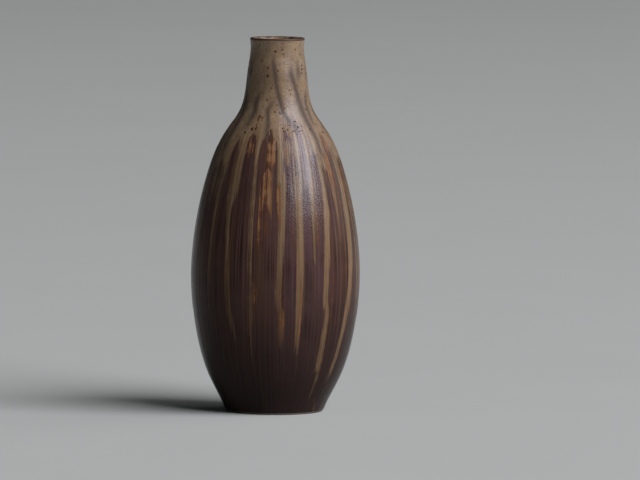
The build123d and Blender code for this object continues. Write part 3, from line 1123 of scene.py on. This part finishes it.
# Specks that the photograph shows: azimuth in degrees, height in millimetres, share of the full radius
FRONT_SPECK_RADIUS = 1.5 * MM
FRONT_SPECKS = [
    (12, 296, 0.6), (11, 291, 0.7), (-3.5, 289.5, 0.9), (-24, 291, 0.5), (13.5, 287.5, 0.6),
    (42.5, 291, 0.7), (58, 287, 0.7), (-31, 282.5, 0.7), (-18.5, 276.5, 1), (-18, 270, 1),
    (59, 278, 0.7), (58, 275, 1), (56.5, 272, 1), (2.5, 274.5, 0.6), (-44.5, 260, 0.7),
    (-10, 260.5, 0.7), (-8, 264, 0.5), (-25, 256, 0.5), (-17, 251, 0.8), (24, 259, 0.6),
    (25.5, 256, 0.6), (13.5, 244.5, 0.7), (4.5, 240.5, 1), (-2.5, 241.5, 0.7), (-0.5, 247, 0.6),
    (-24.7, 237.5, 0.9), (-20.7, 237, 0.8), (-26, 235, 0.9), (-26, 231, 0.7), (-25, 228.5, 0.8),
    (-39, 231, 0.7), (-38.5, 225, 0.8), (25.5, 234, 0.5), (28, 230, 0.5), (8, 229, 0.4),
    (9.3, 226.5, 0.5), (58, 253.5, 0.6), (49.5, 258, 0.6), (54, 243, 0.7), (61.5, 231, 0.7),
    (43.5, 227.5, 0.7), (67, 225, 0.8), (-30, 228, 0.9), (-34, 233, 0.6), (-6, 227, 0.7),
    (-9, 226, 0.5), (14, 228, 0.4),
]


def speck_places():
    """Azimuth, height and radius of each speck: the photograph's, then seeded ones."""
    places = []
    for turn, height, share in FRONT_SPECKS:
        places.append((radians(turn), height * MM, FRONT_SPECK_RADIUS * share))
    for _ in range(SPECK_COUNT):
        height = rng.uniform(*SPECK_HEIGHTS)
        size = SPECK_SIZE + SPECK_GROWTH * rng.random() ** 3
        azimuth = rng.uniform(0, 2 * pi)
        if abs(turn_between(azimuth, 0)) < FRONT_SPAN:
            size = FRONT_SHRINK * size
        places.append((azimuth, height, size))
    return places


def make_specks():
    """All specks as one piece: low ragged domes let into the coat."""
    sides = np.arange(SPECK_SIDES) * 2 * pi / SPECK_SIDES
    points, faces, warm = [], [], []
    for azimuth, height, size in speck_places():
        ragged = size * rng.uniform(*SPECK_RAGGED, SPECK_SIDES)
        first = len(points)
        collar_top = collar_depth(azimuth, height, 1.0)
        points.append(wall_points(azimuth, height, collar_top + SPECK_CREST))
        for share, depth in SPECK_RINGS:
            turn = azimuth + share * ragged * np.cos(sides) / wall_radius(height)
            points.extend(wall_points(turn, height + share * ragged * np.sin(sides), collar_top + depth))
        points.append(wall_points(azimuth, height, collar_top - SPECK_ROOT))
        last = len(points) - 1
        for index in range(SPECK_SIDES):
            here = first + 1 + index
            beside = first + 1 + (index + 1) % SPECK_SIDES
            faces.append([first, here, beside])
            faces.append([here, here + SPECK_SIDES, beside + SPECK_SIDES, beside])
            faces.append([here + SPECK_SIDES, last, beside + SPECK_SIDES])
        warm.extend([rng.uniform(*SPECK_WARMTH)] * (last - first + 1))
    make_piece("iron_specks", np.array(points), faces, {"warm": warm}, speck_glaze)


make_specks()


# Floor, light and camera
FLOOR_SIZE = 60.0
KEY_AZIMUTH = radians(55.5)
KEY_ELEVATION = radians(40)
KEY_WIDTH_ANGLE = radians(45)
KEY_HEIGHT_ANGLE = radians(44)
KEY_DISTANCE = 20.0
KEY_RADIANCE = 8.2
KEY_COLOUR = (0.96, 0.93, 1.0)
SIDE_AZIMUTH = radians(108)
SIDE_ELEVATION = radians(30)
SIDE_SPREAD = radians(60)
SIDE_STRENGTH = 0.55
WORLD_STRENGTH = 0.036
IMAGE_WIDTH = 640
PIXELS_PER_METRE = 1247
VIEW_DISTANCE = 6.6
VIEW_ELEVATION = radians(4.5)
VIEW_ROLL = radians(0.5)
VIEW_AIM = Vector((0.0355, 0, 0.1375))
VIEW_REACH = 100
SENSOR_WIDTH = 36.0


def direction(azimuth, elevation):
    """Unit vector towards an azimuth and an elevation."""
    return Vector((sin(azimuth) * cos(elevation), -cos(azimuth) * cos(elevation), sin(elevation)))


def make_floor():
    """A plain pale floor that fills the picture."""
    bpy.ops.mesh.primitive_plane_add(size=FLOOR_SIZE)
    floor = bpy.context.object
    floor.name = "floor"
    material, tree, shader = new_material("floor")
    soft = noise(tree, 4, 2.0)
    put(tree, shader.inputs["Base Color"], mix(tree, soft, FLOOR_DARK, FLOOR_PALE))
    shader.inputs["Roughness"].default_value = 0.9
    floor.data.materials.append(material)


def add_lamp(light, azimuth, elevation, distance):
    """Stands a light at a distance, facing the vase."""
    lamp = bpy.data.objects.new(light.name, light)
    towards = direction(azimuth, elevation)
    lamp.location = distance * towards
    lamp.rotation_euler = towards.to_track_quat("Z", "Y").to_euler()
    bpy.context.scene.collection.objects.link(lamp)


def make_light():
    """A large soft window to the front right, weak light from the right, and a weak fill."""
    key = bpy.data.lights.new("key", "AREA")
    key.shape = "RECTANGLE"
    key.size = 2 * KEY_DISTANCE * tan(KEY_WIDTH_ANGLE / 2)
    key.size_y = 2 * KEY_DISTANCE * tan(KEY_HEIGHT_ANGLE / 2)
    key.energy = pi * key.size * key.size_y * KEY_RADIANCE
    key.color = KEY_COLOUR
    add_lamp(key, KEY_AZIMUTH, KEY_ELEVATION, KEY_DISTANCE)
    side = bpy.data.lights.new("side", "SUN")
    side.angle = SIDE_SPREAD
    side.energy = SIDE_STRENGTH
    add_lamp(side, SIDE_AZIMUTH, SIDE_ELEVATION, KEY_DISTANCE)
    world = bpy.data.worlds.new("fill")
    world.use_nodes = True
    background = world.node_tree.nodes["Background"]
    background.inputs["Color"].default_value = FILL_COLOUR
    background.inputs["Strength"].default_value = WORLD_STRENGTH
    bpy.context.scene.world = world


def make_camera():
    """Camera with the photograph's frame, and the vase where the photograph has it."""
    camera = bpy.data.objects.new("camera", bpy.data.cameras.new("camera"))
    back = direction(0, VIEW_ELEVATION)
    camera.location = VIEW_AIM + VIEW_DISTANCE * back
    level = (-back).to_track_quat("-Z", "Y").to_matrix()
    camera.rotation_euler = (level @ Matrix.Rotation(VIEW_ROLL, 3, "Z")).to_euler()
    camera.data.sensor_width = SENSOR_WIDTH
    camera.data.lens = SENSOR_WIDTH * VIEW_DISTANCE * PIXELS_PER_METRE / IMAGE_WIDTH
    camera.data.clip_end = VIEW_REACH
    bpy.context.scene.collection.objects.link(camera)
    bpy.context.scene.camera = camera


make_floor()
make_light()
make_camera()
bpy.context.scene.view_settings.view_transform = "Standard"
